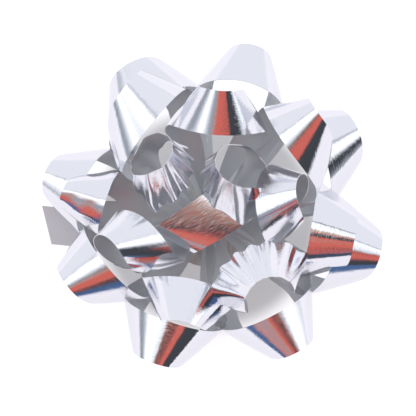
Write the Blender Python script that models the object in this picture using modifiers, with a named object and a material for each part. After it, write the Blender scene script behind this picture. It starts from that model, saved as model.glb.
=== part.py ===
"""Pre-made gift bow: one metallised ribbon wound into twenty cone-shaped loops, stapled to a sticky card.

Metres, +Z up. The origin is the middle of the underside, on the surface that the bow stands on.
From below: release liner, foam adhesive pad, card disc, the pinned stack of ribbon in the middle
(core), the staple through it, and the loops in four tiers around the hub. The real ribbon is one
strip. Here each loop is its own solid, which stops a small gap away from the core that it leaves.
"""

import math

import bmesh
import bpy
from mathutils import Matrix, Vector

MM = 0.001

# Ribbon
RIBBON_WIDTH = 12.7 * MM
FILM_THICKNESS = 0.25 * MM
CLEARANCE = 0.3 * MM  # between pieces that touch on the real bow

# Base, from below
LINER_THICKNESS = 0.2 * MM
LINER_SIDE = 23.0 * MM
LINER_TAB_LENGTH = 5.0 * MM
LINER_TAB_WIDTH = 9.0 * MM
PAD_THICKNESS = 1.2 * MM
PAD_SIDE = 20.0 * MM
PAD_CORNER = 2.0 * MM
CARD_THICKNESS = 0.6 * MM
CARD_DIAMETER = 28.0 * MM

# Staple and the pinned core
STAPLE_WIDTH = 8.0 * MM  # between the middles of its two legs
STAPLE_WIRE = 0.6 * MM
STAPLE_CLINCH = 2.8 * MM
STAPLE_BEND = 0.2 * MM
STAPLE_AZIMUTH = 97.2
CORE_RADIUS = 5.7 * MM
CORE_FOOT = 3.6 * MM  # the hub's middle above the top of the card
CORE_CROWN = 2.5 * MM  # the core's flat top above the hub's middle

# Loops: every one is the ribbon wrapped on a cone whose point lies outside the bow
CONE_ANGLE = 28.0  # half of the cone's opening angle
APEX_REACH = 61.0 * MM  # from the hub to the cone's point
TIP_SETBACK = 11.0 * MM  # from the cone's point to the ribbon's outer edge
CENTRE_REACH = 42.0 * MM
CENTRE_SETBACK = 8.0 * MM
CENTRE_AZIMUTH = 250.0
SHOULDER = 4.0 * MM  # how softly a loop turns from its cone to its gathered root
TIER_GAP = 1.0  # degrees that stay free between two tiers

# Tiers: each takes a band of elevation angles seen from the hub, in degrees
OUTER_BAND = (-5.0, 21.0)
MIDDLE_BAND = (22.0, 49.0)
INNER_BAND = (50.0, 71.0)
CENTRE_BAND_START = 73.0
OUTER_AZIMUTHS = [27.0, 76.0, 120.0, 161.0, 211.0, 252.0, 299.0, 345.0]
MIDDLE_AZIMUTHS = [42.0, 85.0, 129.0, 169.0, 205.0, 258.0, 300.0, 343.0]
INNER_AZIMUTHS = [8.0, 60.0, 132.0]
WIDEST_SECTOR = 25.0  # half of the widest sector that one loop may take

# Tail: the ribbon's free end
TAIL_AZIMUTH = 181.0
TAIL_REACH = 47.3 * MM
TAIL_ROOT_WIDTH = 4.0 * MM
TAIL_SPREAD = 12.0 * MM  # distance over which the tail widens to the whole ribbon
TAIL_SLANT = -3.5 * MM  # one side of the cut end is longer than the other
TAIL_DROP = 1.9 * MM

# How finely the pieces are divided
LOOP_STEPS = 34
WIDTH_STEPS = 2
TAIL_STEPS = (16, 4)
ROUND_STEPS = 40
HOLE_STEPS = 16
CORE_STEPS = 12
CORNER_STEPS = 5
TAB_STEPS = 10
WELD = 0.02 * MM  # points nearer than this are one point

# Levels that follow from the sizes above
PAD_BOTTOM = LINER_THICKNESS + CLEARANCE
CARD_BOTTOM = PAD_BOTTOM + PAD_THICKNESS + CLEARANCE
CARD_TOP = CARD_BOTTOM + CARD_THICKNESS
HUB_HEIGHT = CARD_TOP + CORE_FOOT
CORE_BOTTOM = CARD_TOP + CLEARANCE
CORE_TOP = HUB_HEIGHT + CORE_CROWN
ROOT_RADIUS = CORE_RADIUS + CLEARANCE
HOLE_DIAMETER = STAPLE_WIRE + 2 * CLEARANCE

SILVER = (0.86, 0.86, 0.88)


def make_collection(name):
    collection = bpy.data.collections.new(name)
    bpy.context.scene.collection.children.link(collection)
    return collection


def make_material(name, colour, roughness, metallic):
    material = bpy.data.materials.new(name)
    material.use_nodes = True
    shader = material.node_tree.nodes["Principled BSDF"]
    shader.inputs["Base Color"].default_value = (*colour, 1.0)
    shader.inputs["Roughness"].default_value = roughness
    shader.inputs["Metallic"].default_value = metallic
    return material


def add_piece(name, data, collection, colour, roughness, metallic):
    """An object in the given collection with a material of its own."""
    piece = bpy.data.objects.new(name, data)
    collection.objects.link(piece)
    data.materials.append(make_material(name + "_finish", colour, roughness, metallic))
    return piece


def add_cutter(name, build, collection):
    """A guide object that Boolean modifiers cut with. build fills its bmesh."""
    mesh = bpy.data.meshes.new(name)
    shape = bmesh.new()
    build(shape)
    shape.to_mesh(mesh)
    shape.free()
    cutter = bpy.data.objects.new(name, mesh)
    collection.objects.link(cutter)
    cutter.hide_render = True
    cutter.display_type = "WIRE"
    return cutter


def cut(piece, cutter):
    boolean = piece.modifiers.new("Cut " + cutter.name, "BOOLEAN")
    boolean.operation = "DIFFERENCE"
    boolean.object = cutter


def thicken(piece, thickness, offset):
    wall = piece.modifiers.new("Thickness", "SOLIDIFY")
    wall.thickness = thickness
    wall.offset = offset


def soft_minimum(first, second):
    """At most the smaller of the two, with a rounded turn between them."""
    return (first + second - math.hypot(first - second, SHOULDER)) / 2


def sector_half_width(azimuths, index):
    """Half of the sector that a loop may fill: half way to its nearest neighbour in the tier."""
    here = azimuths[index]
    others = [a for i, a in enumerate(azimuths) if i != index]
    apart = [abs((a - here + 180.0) % 360.0 - 180.0) for a in others]
    return min(min(apart) / 2, WIDEST_SECTOR)


def cell_slopes(elevation, band_half, sector_half):
    """Sideways and upward limits of a loop's cell, as slopes seen from the hub.

    The cell is an elliptical cone around the loop's own axis. Its sides touch the two upright
    planes that bound the sector, less the clearance that neighbours keep at their roots.
    """
    lift = math.radians(elevation)
    spread = math.tan(math.radians(sector_half))
    upward = math.tan(math.radians(band_half))
    reach = (math.cos(lift) * spread) ** 2 - (upward * math.sin(lift) * spread) ** 2
    gap = (CLEARANCE + FILM_THICKNESS) / 2 / ROOT_RADIUS
    return math.sqrt(reach) - gap, upward


def wrap_on_cone(along, across, reach, setback, slopes):
    """A point of a wrapped ribbon: (distance from the hub along the axis, sideways, upward).

    The flat ribbon passes the cone's point at a distance of setback. along runs from -1 to 1 over
    the loop, and across from -1 at the outer edge to 1 at the mouth. Rolling the ribbon onto the
    cone keeps its distance from the point and stretches its turn by 1 / sin(cone angle).
    """
    cone = math.radians(CONE_ANGLE)
    offset = setback + RIBBON_WIDTH * (across + 1) / 2
    last_turn = math.acos(offset * math.cos(cone) / (reach - ROOT_RADIUS))
    turn = along * last_turn
    slant = offset / math.cos(turn)
    angle = turn / math.sin(cone)
    outward = reach - slant * math.cos(cone)
    cone_radius = slant * math.sin(cone)
    sideways = soft_minimum(cone_radius, outward * slopes[0])
    upward = soft_minimum(cone_radius, outward * slopes[1])
    return outward, sideways * math.sin(angle), upward * math.cos(angle)


def loop_frame(azimuth, elevation):
    """Turns (outward, sideways, upward) at the hub into the bow's own directions."""
    turn = Matrix.Rotation(math.radians(azimuth), 4, "Z")
    lift = Matrix.Rotation(math.radians(-elevation), 4, "Y")
    return Matrix.Translation((0, 0, HUB_HEIGHT)) @ turn @ lift


def add_loop(name, azimuth, elevation, reach, setback, slopes, collection):
    """One loop of ribbon: a flat grid rolled onto its cone, gathered to its root, then thickened."""
    shape = bmesh.new()
    bmesh.ops.create_grid(shape, x_segments=LOOP_STEPS, y_segments=WIDTH_STEPS, size=1.0)
    frame = loop_frame(azimuth, elevation)
    for vertex in shape.verts:
        along, across, _ = vertex.co
        vertex.co = frame @ Vector(wrap_on_cone(along, across, reach, setback, slopes))
    mesh = bpy.data.meshes.new(name)
    shape.to_mesh(mesh)
    shape.free()
    mesh.shade_smooth()
    piece = add_piece(name, mesh, collection, SILVER, 0.12, 1.0)
    thicken(piece, FILM_THICKNESS, 0.0)
    return piece


def add_tier(prefix, azimuths, band, collection):
    elevation = sum(band) / 2
    band_half = (band[1] - band[0] - TIER_GAP) / 2
    for index, azimuth in enumerate(azimuths):
        slopes = cell_slopes(elevation, band_half, sector_half_width(azimuths, index))
        name = f"{prefix}_{index + 1}"
        add_loop(name, azimuth, elevation, APEX_REACH, TIP_SETBACK, slopes, collection)


def add_centre_loop(collection):
    """The last loop stands upright on the hub, in the free space inside the other tiers."""
    slope = math.tan(math.radians(90.0 - CENTRE_BAND_START))
    add_loop("centre_loop", CENTRE_AZIMUTH, 90.0, CENTRE_REACH, CENTRE_SETBACK, (slope, slope), collection)


def add_tail(collection):
    """The free end of the ribbon, which leaves under the outer loops with its back upwards."""
    shape = bmesh.new()
    bmesh.ops.create_grid(shape, x_segments=TAIL_STEPS[0], y_segments=TAIL_STEPS[1], size=1.0)
    start = ROOT_RADIUS + FILM_THICKNESS
    top = CARD_TOP + CLEARANCE + FILM_THICKNESS / 2
    frame = Matrix.Rotation(math.radians(TAIL_AZIMUTH), 4, "Z")
    card_edge = CARD_DIAMETER / 2
    for vertex in shape.verts:
        along = (vertex.co.x + 1) / 2
        length = TAIL_REACH - start + TAIL_SLANT * vertex.co.y / 2
        radius = start + along * length
        spread = min(1.0, (radius - start) / TAIL_SPREAD)
        width = TAIL_ROOT_WIDTH + (RIBBON_WIDTH - TAIL_ROOT_WIDTH) * spread
        past_card = max(0.0, (radius - card_edge) / (TAIL_REACH - card_edge))
        drop = TAIL_DROP * past_card * past_card
        vertex.co = frame @ Vector((radius, vertex.co.y * width / 2, top - drop))
    mesh = bpy.data.meshes.new("ribbon_tail")
    shape.to_mesh(mesh)
    shape.free()
    piece = add_piece("ribbon_tail", mesh, collection, (0.70, 0.70, 0.74), 0.5, 0.3)
    thicken(piece, FILM_THICKNESS, 0.0)


def staple_leg_places():
    turn = Matrix.Rotation(math.radians(STAPLE_AZIMUTH), 3, "Z")
    return [turn @ Vector((side * STAPLE_WIDTH / 2, 0, 0)) for side in (-1, 1)]


def add_leg_holes(collection):
    """Two upright cutters where the staple's legs pass through the core and the card."""

    def build(shape):
        for place in staple_leg_places():
            bmesh.ops.create_cone(
                shape,
                cap_ends=True,
                segments=HOLE_STEPS,
                radius1=HOLE_DIAMETER / 2,
                radius2=HOLE_DIAMETER / 2,
                depth=4 * HUB_HEIGHT,
                matrix=Matrix.Translation(place),
            )

    return add_cutter("staple_leg_holes", build, collection)


def add_core(collection, leg_holes):
    """The pinched stack of ribbon turns: a ball flattened above and below."""
    mesh = bpy.data.meshes.new("pinned_core")
    shape = bmesh.new()
    low = math.asin((CORE_BOTTOM - HUB_HEIGHT) / CORE_RADIUS)
    high = math.asin(CORE_CROWN / CORE_RADIUS)
    profile = [(0.0, CORE_TOP)]
    for step in range(CORE_STEPS + 1):
        rise = high + (low - high) * step / CORE_STEPS
        profile.append((CORE_RADIUS * math.cos(rise), HUB_HEIGHT + CORE_RADIUS * math.sin(rise)))
    profile.append((0.0, CORE_BOTTOM))
    corners = [shape.verts.new((radius, 0, height)) for radius, height in profile]
    for first, second in zip(corners, corners[1:]):
        shape.edges.new((first, second))
    shape.to_mesh(mesh)
    shape.free()
    core = add_piece("pinned_core", mesh, collection, SILVER, 0.2, 1.0)
    screw = core.modifiers.new("Turn", "SCREW")
    screw.steps = ROUND_STEPS
    screw.render_steps = ROUND_STEPS
    screw.use_merge_vertices = True
    screw.merge_threshold = WELD
    cut(core, leg_holes)


def add_card(collection, leg_holes):
    mesh = bpy.data.meshes.new("base_card")
    shape = bmesh.new()
    bmesh.ops.create_cone(
        shape,
        cap_ends=True,
        segments=ROUND_STEPS,
        radius1=CARD_DIAMETER / 2,
        radius2=CARD_DIAMETER / 2,
        depth=CARD_THICKNESS,
        matrix=Matrix.Translation((0, 0, CARD_BOTTOM + CARD_THICKNESS / 2)),
    )
    shape.to_mesh(mesh)
    shape.free()
    card = add_piece("base_card", mesh, collection, (0.82, 0.80, 0.76), 0.8, 0.0)
    cut(card, leg_holes)


def rounded_square(side, corner):
    """Corners of a square with round corners, counter-clockwise."""
    points = []
    for quarter in range(4):
        middle = math.radians(45 + 90 * quarter)
        centre_x = math.copysign(side / 2 - corner, math.cos(middle))
        centre_y = math.copysign(side / 2 - corner, math.sin(middle))
        for step in range(CORNER_STEPS + 1):
            angle = math.radians(90 * quarter + 90 * step / CORNER_STEPS)
            points.append((centre_x + corner * math.cos(angle), centre_y + corner * math.sin(angle)))
    return points


def add_flat_piece(name, outline, bottom, thickness, collection, colour, roughness):
    """A flat outline with a thickness, lying level."""
    curve = bpy.data.curves.new(name, "CURVE")
    curve.dimensions = "2D"
    curve.fill_mode = "BOTH"
    curve.extrude = thickness / 2
    line = curve.splines.new("POLY")
    line.points.add(len(outline) - 1)
    for point, (x, y) in zip(line.points, outline):
        point.co = (x, y, 0, 1)
    line.use_cyclic_u = True
    guide = bpy.data.objects.new(name + "_outline", curve)
    collection.objects.link(guide)
    guide.location.z = bottom + thickness / 2
    bpy.context.view_layer.update()
    evaluated = guide.evaluated_get(bpy.context.evaluated_depsgraph_get())
    mesh = bpy.data.meshes.new_from_object(evaluated)
    mesh.name = name
    shape = bmesh.new()
    shape.from_mesh(mesh)
    bmesh.ops.remove_doubles(shape, verts=shape.verts, dist=WELD)
    shape.to_mesh(mesh)
    shape.free()
    piece = add_piece(name, mesh, collection, colour, roughness, 0.0)
    piece.matrix_world = guide.matrix_world
    bpy.data.objects.remove(guide)
    return piece


def add_pad(collection, cutters):
    """Foam tape under the card. Its slot leaves room for the staple's clinched ends."""
    pad = add_flat_piece(
        "adhesive_pad",
        rounded_square(PAD_SIDE, PAD_CORNER),
        PAD_BOTTOM,
        PAD_THICKNESS,
        collection,
        (0.93, 0.93, 0.90),
        0.7,
    )
    length = STAPLE_WIDTH + STAPLE_WIRE + 2 * CLEARANCE
    width = STAPLE_WIRE + 4 * CLEARANCE

    def build(shape):
        turn = Matrix.Rotation(math.radians(STAPLE_AZIMUTH), 4, "Z")
        size = Matrix.Diagonal((length, width, 4 * CARD_TOP, 1))
        bmesh.ops.create_cube(shape, size=1.0, matrix=turn @ size)

    cut(pad, add_cutter("clinch_slot", build, cutters))


def add_liner(collection):
    """The waxed paper on the pad's sticky side, with a half-round pull tab on its +X edge."""
    half = LINER_SIDE / 2
    outline = [(-half, half), (-half, -half), (half, -half)]
    for step in range(TAB_STEPS + 1):
        angle = math.radians(-90 + 180 * step / TAB_STEPS)
        outline.append((half + LINER_TAB_LENGTH * math.cos(angle), LINER_TAB_WIDTH / 2 * math.sin(angle)))
    outline.append((half, half))
    add_flat_piece("release_liner", outline, 0.0, LINER_THICKNESS, collection, (0.95, 0.94, 0.88), 0.4)


def add_staple(collection):
    """Steel wire: a crown on the core, two legs through the card, and ends bent inwards below it."""
    wire_radius = STAPLE_WIRE / 2
    crown = CORE_TOP + CLEARANCE + wire_radius
    clinch = CARD_BOTTOM - CLEARANCE - wire_radius
    half = STAPLE_WIDTH / 2
    end = half - STAPLE_CLINCH
    right = [(half - STAPLE_BEND, crown), (half, crown - STAPLE_BEND), (half, clinch + STAPLE_BEND)]
    right += [(half - STAPLE_BEND, clinch), (end, clinch)]
    route = [(-x, z) for x, z in reversed(right)] + right
    curve = bpy.data.curves.new("staple", "CURVE")
    curve.dimensions = "3D"
    curve.bevel_depth = wire_radius
    curve.bevel_resolution = 2
    curve.use_fill_caps = True
    line = curve.splines.new("POLY")
    line.points.add(len(route) - 1)
    for point, (x, z) in zip(line.points, route):
        point.co = (x, 0, z, 1)
    staple = add_piece("staple", curve, collection, (0.55, 0.55, 0.57), 0.3, 1.0)
    staple.rotation_euler.z = math.radians(STAPLE_AZIMUTH)


def build_bow():
    for old in list(bpy.data.objects):
        bpy.data.objects.remove(old)
    bow = make_collection("gift_bow")
    cutters = make_collection("cutters")
    leg_holes = add_leg_holes(cutters)
    add_liner(bow)
    add_pad(bow, cutters)
    add_card(bow, leg_holes)
    add_core(bow, leg_holes)
    add_staple(bow)
    add_tail(bow)
    add_tier("outer_loop", OUTER_AZIMUTHS, OUTER_BAND, bow)
    add_tier("middle_loop", MIDDLE_AZIMUTHS, MIDDLE_BAND, bow)
    add_tier("inner_loop", INNER_AZIMUTHS, INNER_BAND, bow)
    add_centre_loop(bow)


build_bow()
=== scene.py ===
# %% [markdown]
# # A silver star bow
#
# A star bow is one long ribbon of metallised film. A machine winds it into cone-shaped loops
# around a middle point, each a little further round than the last, and a staple through the
# middle pins every turn to a round card. This script dresses the bow's working model with the
# real ribbon: thin, mirror-bright outside, grey and matte inside.
#
# The frame gives the hard pieces (card, pad, liner, staple, core). Every loop is modelled here
# again, finer and at the angle where it really stands.

import math

import bpy
from mathutils import Matrix, Vector, noise


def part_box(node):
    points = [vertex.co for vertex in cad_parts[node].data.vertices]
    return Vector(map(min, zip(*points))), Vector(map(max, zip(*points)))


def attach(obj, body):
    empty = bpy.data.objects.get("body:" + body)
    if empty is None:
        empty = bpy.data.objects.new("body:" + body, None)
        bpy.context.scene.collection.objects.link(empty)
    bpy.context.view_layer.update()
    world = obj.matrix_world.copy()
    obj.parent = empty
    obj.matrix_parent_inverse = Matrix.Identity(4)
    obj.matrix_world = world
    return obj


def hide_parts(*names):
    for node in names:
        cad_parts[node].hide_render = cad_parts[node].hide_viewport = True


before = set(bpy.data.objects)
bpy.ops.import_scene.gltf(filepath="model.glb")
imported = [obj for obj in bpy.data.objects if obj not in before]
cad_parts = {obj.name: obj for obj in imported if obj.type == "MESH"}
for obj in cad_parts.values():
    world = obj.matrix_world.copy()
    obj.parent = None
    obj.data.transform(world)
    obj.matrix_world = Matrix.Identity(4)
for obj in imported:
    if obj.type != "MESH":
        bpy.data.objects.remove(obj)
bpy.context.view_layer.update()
print("nodes in the working model:", len(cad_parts))

# %% [markdown]
# ## Driving sizes
#
# The ribbon is half an inch wide. Its thickness is drawn a little heavier than the real
# 0.06 mm, so that its edge catches a thin line of light and its two sides stay apart.
# All loops start at the hub, which is the middle of the pinned core.

# %% Sizes
MM = 0.001
RIBBON_WIDTH = 12.7 * MM
FILM = 0.12 * MM
HUB = Vector((0.0, 0.0, 6.2 * MM))
ROOT = 6.0 * MM  # how far from the hub a loop starts
print("ribbon", RIBBON_WIDTH / MM, "mm wide and", FILM / MM, "mm thick")

# %% [markdown]
# ## Finishes
#
# The front of the film is aluminium on plastic, so it is a metal with very low roughness. It
# could be one flat mirror, but the real film is never quite flat. Extrusion leaves fine ribs
# along the ribbon, which blur what it mirrors across its width. Coarser, shorter marks cut small
# teeth into the edge of every reflection, and a slow sway bends it. Each is a noise pattern of
# its own that drives a bump.
#
# The marks follow the ribbon, so they are drawn in its UV map: U runs along it and V across it.
# The back is the bare grey side of the same film, with the same ribs and little shine. The tail has a darker
# copy of it, which is painted shade.


# %% Helpers for materials
def new_material(name, colour, roughness, metallic):
    material = bpy.data.materials.new(name)
    material.use_nodes = True
    shader = material.node_tree.nodes["Principled BSDF"]
    shader.inputs["Base Color"].default_value = (*colour, 1.0)
    shader.inputs["Roughness"].default_value = roughness
    shader.inputs["Metallic"].default_value = metallic
    return material, material.node_tree, shader


def mapped_noise(tree, source, scale, detail, stretch):
    """A noise texture on the given coordinates, stretched by a Mapping node."""
    coordinates = tree.nodes.new("ShaderNodeTexCoord")
    mapping = tree.nodes.new("ShaderNodeMapping")
    mapping.inputs["Scale"].default_value = stretch
    pattern = tree.nodes.new("ShaderNodeTexNoise")
    pattern.inputs["Scale"].default_value = scale
    pattern.inputs["Detail"].default_value = detail
    tree.links.new(coordinates.outputs[source], mapping.inputs["Vector"])
    tree.links.new(mapping.outputs["Vector"], pattern.inputs["Vector"])
    return pattern


def add_bump(tree, shader, pattern, strength, depth):
    """Bump from one pattern, on top of the bump that the shader already has."""
    bump = tree.nodes.new("ShaderNodeBump")
    bump.inputs["Strength"].default_value = strength
    bump.inputs["Distance"].default_value = depth
    tree.links.new(pattern.outputs["Fac"], bump.inputs["Height"])
    for link in shader.inputs["Normal"].links:
        tree.links.new(link.from_socket, bump.inputs["Normal"])
    tree.links.new(bump.outputs["Normal"], shader.inputs["Normal"])


# %% Mirror front
FINE_RIBS = (9.0, 170.0, 1.0)  # marks along the ribbon, marks across it
TEETH = (40.0, 50.0, 1.0)
SWAY = (14.0, 3.0, 1.0)

foil, tree, shader = new_material("film_front", (0.74, 0.75, 0.80), 0.04, 1.0)
ribs = mapped_noise(tree, "UV", 1.0, 2.0, FINE_RIBS)
teeth = mapped_noise(tree, "UV", 1.0, 1.0, TEETH)
sway = mapped_noise(tree, "UV", 1.0, 1.0, SWAY)
add_bump(tree, shader, ribs, 0.25, 0.03 * MM)
add_bump(tree, shader, teeth, 0.5, 0.06 * MM)
add_bump(tree, shader, sway, 0.5, 0.03 * MM)
print("made", foil.name)

# %% Matte back
BACK_RIBS = (4.0, 90.0, 1.0)


def make_back(name, colour):
    material, tree, shader = new_material(name, colour, 0.42, 0.3)
    ribs = mapped_noise(tree, "UV", 1.0, 3.0, BACK_RIBS)
    add_bump(tree, shader, ribs, 0.25, 0.02 * MM)
    return material


back = make_back("film_back", (0.66, 0.68, 0.70))
# The tail's copy is darker though the film is the same: its darker tone is painted shade.
tail_back_painted_shade = make_back("film_back_painted_shade", (0.56, 0.555, 0.59))
print("made", back.name, "and", tail_back_painted_shade.name)

# %% [markdown]
# ## One loop of ribbon
#
# A ribbon cannot stretch, so it can only bend into a developable shape. A loop of a star bow is
# the ribbon rolled onto a cone whose point lies outside the bow. On the flat ribbon, a point is
# `along` it and `offset` from the cone's point. Its distance from that point stays the same on
# the cone, and its turn grows by 1 / sin(half angle of the cone).
#
# It could be modelled by a spin or a curve bevel, but neither keeps the ribbon's width true.
# Here a flat grid primitive is added and each of its vertices is rolled onto the cone. Near the
# hub the cone would be far too wide, so a soft limit gathers the ribbon to its root.

# %% Roll a ribbon onto a cone
SHOULDER = 3.0 * MM  # how softly the cone turns into the gathered root
SIDE_LIMIT = 0.6  # the widest that the loop may be, as a share of its distance from the hub
UP_LIMIT = 0.6
DOWN_LIMIT = 0.3
PLEAT_DRIFT = 1.7  # makes the pleats uneven


def soft_minimum(first, second):
    return (first + second - math.hypot(first - second, SHOULDER)) / 2


def pleat_height(angle, across, loop):
    """How much a gathered loop's skirt stands in or out, as a share of its radius."""
    wave = math.sin(angle * loop["pleats"] + 2.0 * math.sin(angle * PLEAT_DRIFT))
    return loop["pleat_depth"] * wave * (0.25 + 0.75 * across)


def roll_on_cone(along, across, loop):
    """(distance from the hub, sideways, upward) of one point of the ribbon."""
    cone = math.radians(loop["cone"])
    offset = loop["setback"] + RIBBON_WIDTH * across
    last_turn = math.acos(offset * math.cos(cone) / (loop["reach"] - ROOT))
    turn = along * last_turn
    slant = offset / math.cos(turn)
    angle = turn / math.sin(cone)
    outward = loop["reach"] - slant * math.cos(cone)
    radius = slant * math.sin(cone)
    swell = 1 + pleat_height(angle, across, loop)
    height_limit = UP_LIMIT if math.cos(angle) > 0 else DOWN_LIMIT
    sideways = soft_minimum(radius, outward * SIDE_LIMIT) * swell
    upward = soft_minimum(radius, outward * height_limit) * swell
    return Vector((outward, sideways * math.sin(angle), upward * math.cos(angle)))


# %% [markdown]
# ## From the cone to a piece
#
# The rolled ribbon is turned to where its loop points: round the bow by its azimuth, up by its
# elevation, and about its own axis by its roll. Winding pulls most loops a little to one side, and
# `lean` gives how far. Loops that were squeezed get a soft crumple from a noise field.
#
# The film's thickness comes last, from a Solidify modifier that grows inwards. Its material
# offset gives the inner wall the matte back, while the wall outside and the cut edge stay bright.

# %% Make one loop
STEPS_ALONG = 160
STEPS_ACROSS = 14
CREASES = 160.0  # creases to the metre
TABLE_GAP = 0.4 * MM  # the lowest turns are pressed together above the table
TABLE_GIVE = 0.2


def select_only(piece):
    bpy.ops.object.select_all(action="DESELECT")
    piece.select_set(True)
    bpy.context.view_layer.objects.active = piece


def ribbon_grid(name, steps_along, steps_across):
    """A flat grid from -1 to 1 along X (along the ribbon) and Y (across it)."""
    bpy.ops.object.select_all(action="DESELECT")
    bpy.ops.mesh.primitive_grid_add(x_subdivisions=steps_along, y_subdivisions=steps_across, size=2)
    piece = bpy.context.object
    piece.name = name
    piece.data.name = name
    return piece


def finish_film(piece, outside, inside):
    """Gives the film its thickness, with one finish outside and the other inside."""
    piece.data.materials.append(outside)
    piece.data.materials.append(inside)
    select_only(piece)
    wall = piece.modifiers.new("Film", "SOLIDIFY")
    wall.thickness = FILM
    wall.offset = -1.0
    wall.material_offset = 1
    wall.material_offset_rim = 0
    bpy.ops.object.modifier_apply(modifier=wall.name)
    bpy.ops.object.shade_smooth_by_angle(angle=math.radians(40))
    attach(piece, "bow")


def make_loop(node, azimuth, elevation, reach=61.0, cone=28.5, setback=11.0, roll=0.0, lean=(0, 0),
              pleats=0, pleat_depth=0.0, crumple=0.0):
    """Angles are in degrees and lengths in millimetres. A loop stands for the node of its name."""
    loop = {
        "reach": reach * MM,
        "cone": cone,
        "setback": setback * MM,
        "pleats": pleats,
        "pleat_depth": pleat_depth,
    }
    turn = Matrix.Rotation(math.radians(azimuth), 3, "Z")
    lift = Matrix.Rotation(math.radians(-elevation), 3, "Y")
    twist = Matrix.Rotation(math.radians(-roll), 3, "X")
    shift = Vector((*lean, 0.0)) * MM
    piece = ribbon_grid(node + "_ribbon", STEPS_ALONG, STEPS_ACROSS)
    for vertex in piece.data.vertices:
        point = roll_on_cone(vertex.co.x, (vertex.co.y + 1) / 2, loop)
        leaning = min(1.0, point.x / (0.5 * loop["reach"]))
        place = HUB + turn @ lift @ twist @ point + shift * leaning
        if crumple:
            place += crumple * MM * noise.noise_vector(place * CREASES)
        place.z = max(place.z, TABLE_GAP + TABLE_GIVE * max(place.z, 0.0))
        vertex.co = place
    finish_film(piece, foil, back)
    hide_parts(node)


def make_tier(loops):
    for node, place in loops.items():
        make_loop(node, **place)
        print(node, "points", place["azimuth"], "degrees round and", place["elevation"], "degrees up")


# %% [markdown]
# ## Outer tier
#
# The first eight turns of the ribbon lie lowest and point almost level, about 45 degrees apart.
# They are pushed down by all that is wound on top of them. They could be one loop and seven
# copies, but on a real bow no two stand alike, so each has its own angles.

# %% Outer loops
make_tier({
    "outer_loop_1": dict(azimuth=27, elevation=18, reach=63, cone=29, setback=13, roll=4, lean=(1, 2)),
    "outer_loop_2": dict(azimuth=76, elevation=14, reach=62, cone=28.5, setback=11, roll=-5, lean=(1, 1)),
    "outer_loop_3": dict(azimuth=119, elevation=20, reach=62.5, cone=30, setback=13, roll=4, lean=(0, 2)),
    "outer_loop_4": dict(azimuth=161, elevation=10, reach=61, cone=28.5, setback=11.5, roll=9, lean=(-1, -4)),
    "outer_loop_5": dict(azimuth=212, elevation=15, reach=61, cone=27.5, setback=12, roll=-11, lean=(-1, 3)),
    "outer_loop_6": dict(azimuth=251, elevation=17, reach=61, cone=29, setback=11),
    "outer_loop_7": dict(azimuth=300, elevation=15, reach=61, cone=29.5, setback=10, roll=3, lean=(1, 1)),
    "outer_loop_8": dict(azimuth=345, elevation=14, reach=63, cone=29, setback=12, roll=-4, lean=(2, 0)),
})

# %% [markdown]
# ## Middle tier
#
# The next eight turns stand between and above the first. With less above them they are freer, so
# their elevation varies more, and two of them were knocked far enough to roll about their own
# axis. The one that faces the front is opened out into a pleated fan.

# %% Middle loops
make_tier({
    "middle_loop_1": dict(azimuth=42, elevation=47, reach=63, cone=30, setback=8, roll=15, lean=(4, -1)),
    "middle_loop_2": dict(azimuth=85, elevation=56, reach=62, cone=28.5, setback=9, roll=-1, lean=(1, 1)),
    "middle_loop_3": dict(azimuth=129, elevation=34, reach=61.5, cone=31, setback=11, roll=-22, lean=(2, 2)),
    "middle_loop_4": dict(azimuth=170, elevation=23, reach=57, cone=24, setback=9, roll=18, lean=(1, -3),
                          crumple=0.5),
    "middle_loop_5": dict(azimuth=204, elevation=48, reach=60.5, cone=24, setback=10, roll=-51, lean=(2, -1)),
    "middle_loop_6": dict(azimuth=259, elevation=40, reach=58.5, cone=29, setback=8.5, roll=2, lean=(0, 1)),
    "middle_loop_7": dict(azimuth=287, elevation=62, reach=62, cone=27.5, setback=10.5, roll=-8, lean=(9, -5),
                          pleats=11, pleat_depth=0.045, crumple=0.15),
    "middle_loop_8": dict(azimuth=343, elevation=25, reach=62.5, cone=26, setback=15, roll=-16, lean=(2, 3)),
})

# %% [markdown]
# ## Inner tier
#
# Three loops stand almost upright around the middle. Two of them are narrow cones, gathered hard
# at the root, so their skirts fall in creases. The creases are a wave around the cone that fades
# towards the mouth's rim, and the crumple keeps them from looking ruled.

# %% Inner loops
make_tier({
    "inner_loop_1": dict(azimuth=8, elevation=55, reach=60, cone=24.5, setback=10.5, roll=20, lean=(-1, -3)),
    "inner_loop_2": dict(azimuth=117, elevation=79, reach=60, cone=22, setback=13.5, roll=116, lean=(11, 0),
                         pleats=10, pleat_depth=0.05, crumple=0.3),
    "inner_loop_3": dict(azimuth=117, elevation=73, reach=63, cone=18, setback=18, roll=-60, lean=(-9, 0),
                         pleats=11, pleat_depth=0.06, crumple=0.3),
})

# %% [markdown]
# ## The centre loop
#
# The last loop closes the bow over its middle. It is no cone, because there is no room left: the
# ribbon arrives at a slant, rises, bends over a broad crown that tips to the front, and goes
# down again. The straight lines of the bend run from side to side while the ribbon's edges run
# slanted across them. So each row of the grid across the ribbon becomes one of those straight
# lines, and the rows move along the ribbon's course and up and down with the bend.

# %% Centre loop
RING_HEIGHT = 26.0 * MM  # of the crown above the hub
RING_BULGE = 23.0 * MM
RING_TILT = 0.245  # how much the crown slopes down towards the front
RING_SIDE = 12.3 * MM  # half the ribbon's width, measured along its slanted straight lines
RING_COURSE = math.radians(31.0)
RING_LEAN = Vector((-2.5, -6.5, 0.0)) * MM
RING_TURN = math.radians(176)  # from the crown to either end
CROWN_FRONT = 1.6  # the higher, the flatter
CROWN_BACK = 2.7
GATHERED = 0.3  # width left at the root

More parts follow.
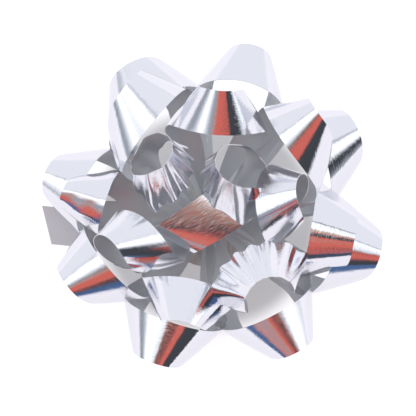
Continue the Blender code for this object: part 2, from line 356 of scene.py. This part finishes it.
ring = ribbon_grid("centre_loop_ribbon", STEPS_ALONG, STEPS_ACROSS)
course = Vector((math.cos(RING_COURSE), math.sin(RING_COURSE), 0.0))
for vertex in ring.data.vertices:
    around = vertex.co.x * RING_TURN
    rise = (1 + math.cos(around)) / 2
    open_side = (1 + math.copysign(1.0, around) * vertex.co.y) / 2
    bulge = RING_BULGE * math.sin(around) * rise**0.55 * (0.25 + 0.75 * open_side)
    spread = GATHERED + (1 - GATHERED) * min(1.0, rise * 2.5)
    crown = CROWN_BACK if around > 0 else CROWN_FRONT
    height = RING_HEIGHT * (1 - (1 - rise) ** crown) + RING_TILT * bulge * course.y
    straight_line = Vector((-vertex.co.y * RING_SIDE * spread, 0.0, height))
    vertex.co = HUB + RING_LEAN * rise + course * bulge + straight_line
finish_film(ring, foil, back)
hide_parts("centre_loop")
print("centre loop's crown is", round((HUB.z + RING_HEIGHT) / MM, 1), "mm up")

# %% [markdown]
# ## The free end
#
# The ribbon starts on the card, under all the loops, and its cut end shows on one side with the
# grey back upwards. It is the same grid, laid along a line that leaves the core a little off
# its middle. It widens from the gathered root, and springs up slightly at the slanted cut.

# %% Tail
TAIL_ROOT = Vector((-6.5, -5.5, 3.4)) * MM
TAIL_END = Vector((-48.7, -1.3, 2.2)) * MM
TAIL_CUT = 0.05  # how much one side is longer, as a share of the length
TAIL_SPRING = 1.2 * MM
TAIL_FLAT = 0.75  # share of the length that lies flat

tail = ribbon_grid("ribbon_tail_film", 60, 10)
run = TAIL_END - TAIL_ROOT
across_tail = Vector((-run.y, run.x, 0.0)).normalized()
for vertex in tail.data.vertices:
    along = (vertex.co.x + 1) / 2
    side = vertex.co.y
    width = RIBBON_WIDTH * min(1.0, 0.35 + 2.2 * along) * 0.9
    cut = TAIL_CUT * along * side
    spring = Vector((0, 0, TAIL_SPRING * max(0.0, along - TAIL_FLAT) * side * side))
    vertex.co = TAIL_ROOT + run * (along - cut) + across_tail * side * width / 2 + spring
# The back, which faces up, wears the darker copy of the film's back, which paints shade on the tail.
finish_film(tail, tail_back_painted_shade, foil)
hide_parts("ribbon_tail")
print("tail is", round(run.length / MM, 1), "mm long")

# %% [markdown]
# ## The pinned middle
#
# Under the loops, every turn of the ribbon passes over the one below, and the staple squeezes
# them into a pleated knot. Separate layers would be too thin to see, so it is a sphere primitive
# flattened to the core's own box and folded into one pleat for each turn.

# %% Core
PLEATS = 20
PLEAT_DEPTH = 0.09
PLEAT_TWIST = 2.5
FLAT_TOP = 0.8  # the sphere is cut off at this share of its height

core_low, core_high = map(Vector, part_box("pinned_core"))
core_middle = (core_low + core_high) / 2
core_half = (core_high - core_low) / 2
bpy.ops.object.select_all(action="DESELECT")
bpy.ops.mesh.primitive_uv_sphere_add(segments=160, ring_count=40, radius=1.0)
knot = bpy.context.object
knot.name = "pinned_core_pleats"
for vertex in knot.data.vertices:
    around = math.atan2(vertex.co.y, vertex.co.x)
    fold = 1.0 - PLEAT_DEPTH * abs(math.sin(PLEATS / 2 * around + PLEAT_TWIST * vertex.co.z))
    level = max(-FLAT_TOP, min(FLAT_TOP, vertex.co.z)) / FLAT_TOP
    vertex.co = core_middle + core_half * Vector((vertex.co.x * fold, vertex.co.y * fold, level))
knot.data.materials.append(foil)
select_only(knot)
bpy.ops.object.shade_smooth_by_angle(angle=math.radians(30))
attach(knot, "bow")
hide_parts("pinned_core")
print("core is", [round(2 * half / MM, 1) for half in core_half], "mm")

# %% [markdown]
# ## Card, pad, liner and staple
#
# These hard pieces are right as they come, so each one only gets its own finish: grey board
# with fibres, foam with fine cells, waxed paper with a faint mottle, and drawn steel wire. One
# noise on the piece's own coordinates gives both its change of colour and its bump.


# %% Helpers for the base
def surface_noise(tree, shader, scale, colour_low, colour_high, depth, stretch=(1, 1, 1)):
    pattern = mapped_noise(tree, "Object", scale, 6.0, stretch)
    ramp = tree.nodes.new("ShaderNodeValToRGB")
    for element, position, colour in zip(ramp.color_ramp.elements, (0.35, 0.65), (colour_low, colour_high)):
        element.position = position
        element.color = (*colour, 1.0)
    tree.links.new(pattern.outputs["Fac"], ramp.inputs["Fac"])
    tree.links.new(ramp.outputs["Color"], shader.inputs["Base Color"])
    add_bump(tree, shader, pattern, 0.6, depth)


def dress(node, material):
    for slot in bpy.data.objects[node].material_slots:
        slot.material = material
    print(node, "is dressed in", material.name)


# %% Card and pad
board, tree, shader = new_material("grey_board", (0.8, 0.78, 0.74), 0.85, 0.0)
surface_noise(tree, shader, 900.0, (0.60, 0.58, 0.54), (0.80, 0.78, 0.74), 0.04 * MM, (1, 0.25, 1))
dress("base_card", board)

foam, tree, shader = new_material("white_foam", (0.93, 0.93, 0.9), 0.75, 0.0)
surface_noise(tree, shader, 2600.0, (0.80, 0.80, 0.76), (0.93, 0.93, 0.91), 0.05 * MM)
dress("adhesive_pad", foam)

# %% Liner and staple
paper, tree, shader = new_material("waxed_paper", (0.95, 0.94, 0.88), 0.35, 0.0)
shader.inputs["Coat Weight"].default_value = 0.3
surface_noise(tree, shader, 350.0, (0.88, 0.86, 0.78), (0.96, 0.95, 0.90), 0.01 * MM)
dress("release_liner", paper)

steel, tree, shader = new_material("drawn_wire", (0.55, 0.55, 0.57), 0.28, 1.0)
surface_noise(tree, shader, 1500.0, (0.42, 0.42, 0.44), (0.62, 0.62, 0.64), 0.01 * MM, (1, 1, 0.05))
dress("staple", steel)

# %% [markdown]
# ## The table
#
# The bow stands on a plain white table. Under the bow the table is in shade, and that shade shows
# between the loops. Lamps could cast it, but all the light here comes from the world, which is
# soft from every side. So the table glows a little, and less under the bow than around it.

# %% Floor
SHADE_EDGE = (30 * MM, 37 * MM)  # distance from the middle of the shade
FLOOR_GLOW = (0.36, 0.88)  # under the bow and around it

bpy.ops.object.select_all(action="DESELECT")
bpy.ops.mesh.primitive_plane_add(size=6.0, location=(0, 1 * MM, -0.2 * MM))
floor = bpy.context.object
floor.name = "floor"
floor_white, tree, shader = new_material("floor_white", (0.30, 0.30, 0.30), 0.7, 0.0)
shader.inputs["Emission Color"].default_value = (0.97, 0.96, 1.0, 1.0)
place_on_floor = tree.nodes.new("ShaderNodeTexCoord")
from_middle = tree.nodes.new("ShaderNodeVectorMath")
from_middle.operation = "LENGTH"
shade = tree.nodes.new("ShaderNodeMapRange")
shade.interpolation_type = "SMOOTHSTEP"
shade.inputs["From Min"].default_value, shade.inputs["From Max"].default_value = SHADE_EDGE
shade.inputs["To Min"].default_value, shade.inputs["To Max"].default_value = FLOOR_GLOW
tree.links.new(place_on_floor.outputs["Object"], from_middle.inputs[0])
tree.links.new(from_middle.outputs["Value"], shade.inputs["Value"])
tree.links.new(shade.outputs["Result"], shader.inputs["Emission Strength"])
floor.data.materials.append(floor_white)
print("floor is shaded out to", SHADE_EDGE[1] / MM, "mm")

# %% [markdown]
# ## What the mirror sees
#
# A mirror has no look of its own: its stripes are the room. The room could be built from lamps
# and cards, but a world shader can paint it by direction, which costs nothing to render and has
# no noise. A direction is given by two angles in degrees, measured from straight above: `east`
# towards +X and `south` towards -Y, where the camera stands. A loop's flank that is tilted by
# some angle mirrors what lies twice that angle away, so stripes on the bow are bands in the sky.


# %% Helpers for the sky
world = bpy.data.worlds.new("studio")
bpy.context.scene.world = world
world.use_nodes = True
studio = world.node_tree


def feed(socket, value):
    """Gives a socket another node's output, a number or a colour."""
    if isinstance(value, bpy.types.NodeSocket):
        studio.links.new(value, socket)
    elif isinstance(value, tuple):
        socket.default_value = (*value, 1.0)
    else:
        socket.default_value = value


def calculate(operation, *values):
    node = studio.nodes.new("ShaderNodeMath")
    node.operation = operation
    for socket, value in zip(node.inputs, values):
        feed(socket, value)
    return node.outputs[0]


def both(*masks):
    product = masks[0]
    for mask in masks[1:]:
        product = calculate("MULTIPLY", product, mask)
    return product


def map_range(value, from_low, from_high, to_low=0.0, to_high=1.0):
    node = studio.nodes.new("ShaderNodeMapRange")
    for socket, number in zip(node.inputs, (value, from_low, from_high, to_low, to_high)):
        feed(socket, number)
    return node


def beyond(value, edge, soft):
    """0 below the edge and 1 above it, with a soft change of the given width."""
    node = map_range(value, edge - soft / 2, edge + soft / 2)
    node.interpolation_type = "SMOOTHSTEP"
    return node.outputs["Result"]


def band(value, low, high, soft_low, soft_high):
    """1 between two edges and 0 outside them."""
    return both(beyond(value, low, soft_low), calculate("SUBTRACT", 1.0, beyond(value, high, soft_high)))


def layer(under, colour, mask):
    """The given colour over what is already there, where the mask is 1."""
    node = studio.nodes.new("ShaderNodeMix")
    node.data_type = "RGBA"
    for socket, value in zip((node.inputs["Factor"], node.inputs[6], node.inputs[7]), (mask, under, colour)):
        feed(socket, value)
    return node.outputs[2]


# %% Directions
direction = studio.nodes.new("ShaderNodeTexCoord")
parts = studio.nodes.new("ShaderNodeSeparateXYZ")
studio.links.new(direction.outputs["Generated"], parts.inputs["Vector"])
bearing = calculate("ARCTAN2", parts.outputs["X"], calculate("MULTIPLY", parts.outputs["Y"], -1.0))
from_zenith = calculate("DEGREES", calculate("ARCCOSINE", parts.outputs["Z"]))
east = calculate("MULTIPLY", from_zenith, calculate("SINE", bearing))
south = calculate("MULTIPLY", from_zenith, calculate("COSINE", bearing))
print("sky is measured in degrees east and south of straight above")

# %% [markdown]
# ## Lamps and walls
#
# Two large white lamps hang left and right of the camera, and the walls in front and behind are
# pale lavender. Bright metal needs something dark to stand against, so a thin slate line marks
# where the wall behind begins. Each band is (from, to, softness at from, softness at to).

# %% Lamps and walls
LAVENDER = (1.04, 1.05, 1.10)
GREY = (0.40, 0.43, 0.48)
WHITE = (1.58, 1.59, 1.61)
SLATE = (0.10, 0.115, 0.14)

WEST_LAMP = (-66.0, 9.0, 26.0, 18.0)
EAST_LAMP = (28.0, 88.0, 18.0, 10.0)
FRONT_WALL = (52.0, 40.0)
SLATE_LINE = (-14.5, -10.0, 0.8, 1.5)
BACK_WALL = (-12.0, 1.5)

sky = layer(GREY, WHITE, band(east, *WEST_LAMP))
sky = layer(sky, WHITE, band(east, *EAST_LAMP))
sky = layer(sky, LAVENDER, beyond(south, *FRONT_WALL))
sky = layer(sky, SLATE, band(south, *SLATE_LINE))
sky = layer(sky, LAVENDER, calculate("SUBTRACT", 1.0, beyond(south, *BACK_WALL)))
print("lamps from", WEST_LAMP[0], "to", EAST_LAMP[1], "degrees east")

# %% [markdown]
# ## Dark and coloured things in front
#
# A bow on a table also mirrors what stands in front of the table, here large soft shapes in red,
# dark and navy with a tan edge. They give the stripes that fan out over the front loops. Their
# sides slant, which is why two slanted copies of `east` are made: both slide as `south` grows.

# %% Shapes in front
TAN = (0.62, 0.46, 0.36)
RED = (0.80, 0.18, 0.14)
DARK = (0.07, 0.075, 0.085)
NAVY = (0.10, 0.18, 0.36)

HALO_WIDTH = (-40.0, 84.0, 30.0, 16.0)
HALO_HEIGHT = (17.0, 96.0, 22.0, 10.0)
SHAPE_SIDE = (-13.0, 3.0)
SHAPE_HEIGHT = (20.0, 94.0, 1.5, 3.0)
TAN_WIDTH = (-60.0, 10.0, 4.0, 2.0)
DARK_SIDE = (36.0, 1.5)
DARK_FOOT = (76.0, 2.0)
NAVY_FOOT = (66.0, 2.0)
NAVY_SIDE = (3.0, 2.0)
CORE_WIDTH = (-58.0, 70.0, 2.0, 2.0)
CORE_SIDE = (-9.0, 1.5)

slant = calculate("ADD", east, map_range(south, 42.0, 55.0, 0.0, 37.0).outputs["Result"])
west_edge = calculate("ADD", east, map_range(south, 38.0, 60.0, 0.0, 31.0).outputs["Result"])
sky = layer(sky, GREY, both(band(slant, *HALO_WIDTH), band(south, *HALO_HEIGHT)))
shape = both(beyond(west_edge, *SHAPE_SIDE), band(south, *SHAPE_HEIGHT))
sky = layer(sky, TAN, both(shape, band(slant, *TAN_WIDTH)))
colours = layer(RED, DARK, beyond(slant, *DARK_SIDE))
colours = layer(colours, DARK, beyond(south, *DARK_FOOT))
colours = layer(colours, NAVY, both(beyond(south, *NAVY_FOOT), beyond(east, *NAVY_SIDE)))
sky = layer(sky, colours, both(shape, band(east, *CORE_WIDTH), beyond(west_edge, *CORE_SIDE)))
print("coloured shapes from", SHAPE_HEIGHT[0], "to", SHAPE_HEIGHT[1], "degrees south")

# %% Small shapes beside the camera
NAVY_PATCH = ((-64.0, -38.0, 2.0, 2.0), (55.0, 90.0, 2.0, 2.0))
NEAR_WIDTH = (-8.0, 22.0, 6.0, 2.0)
NEAR_TAN = (7.0, 14.0, 3.0, 1.0)
NEAR_RED = (13.5, 16.0, 0.6, 1.0)
NEAR_DARK = (16.0, 26.0, 1.0, 2.0)

sky = layer(sky, NAVY, both(band(east, *NAVY_PATCH[0]), band(south, *NAVY_PATCH[1])))
near = band(east, *NEAR_WIDTH)
for colour, height in ((TAN, NEAR_TAN), (RED, NEAR_RED), (DARK, NEAR_DARK)):
    sky = layer(sky, colour, both(near, band(south, *height)))
print("small shapes end", NEAR_DARK[1], "degrees south")

# %% [markdown]
# ## A plain background
#
# The painted room is only for the mirror. To the camera itself the world is plain white, which
# a Light Path node tells apart, so no coloured shape shows behind the bow in a low view.

# %% Background
path = studio.nodes.new("ShaderNodeLightPath")
sky = layer(sky, (1.0, 1.0, 1.0), path.outputs["Is Camera Ray"])
studio.links.new(sky, studio.nodes["Background"].inputs["Color"])
studio.nodes["Background"].inputs["Strength"].default_value = 1.0
print("world has", len(studio.nodes), "nodes")

# %% [markdown]
# ## Camera
#
# The camera looks down steeply from the front, with a long lens half a metre away, so the tips of
# the near and the far loops keep nearly the same size. The Standard view transform keeps the
# white of the table and the lamps clean, where a filmic one would turn it grey.

# %% Camera
CAMERA_ELEVATION = math.radians(80.0)
CAMERA_DISTANCE = 0.5
CAMERA_LENS = 147.1
CAMERA_AIM = Vector((0.0, 1.45, 16.26)) * MM

camera_data = bpy.data.cameras.new("camera")
camera_data.lens = CAMERA_LENS
camera = bpy.data.objects.new("camera", camera_data)
bpy.context.scene.collection.objects.link(camera)
towards_camera = Vector((0, -math.cos(CAMERA_ELEVATION), math.sin(CAMERA_ELEVATION)))
camera.location = CAMERA_AIM + CAMERA_DISTANCE * towards_camera
camera.rotation_euler = (math.radians(90) - CAMERA_ELEVATION, 0, 0)
bpy.context.scene.camera = camera
bpy.context.scene.view_settings.view_transform = "Standard"
print("camera is at", [round(value, 3) for value in camera.location])
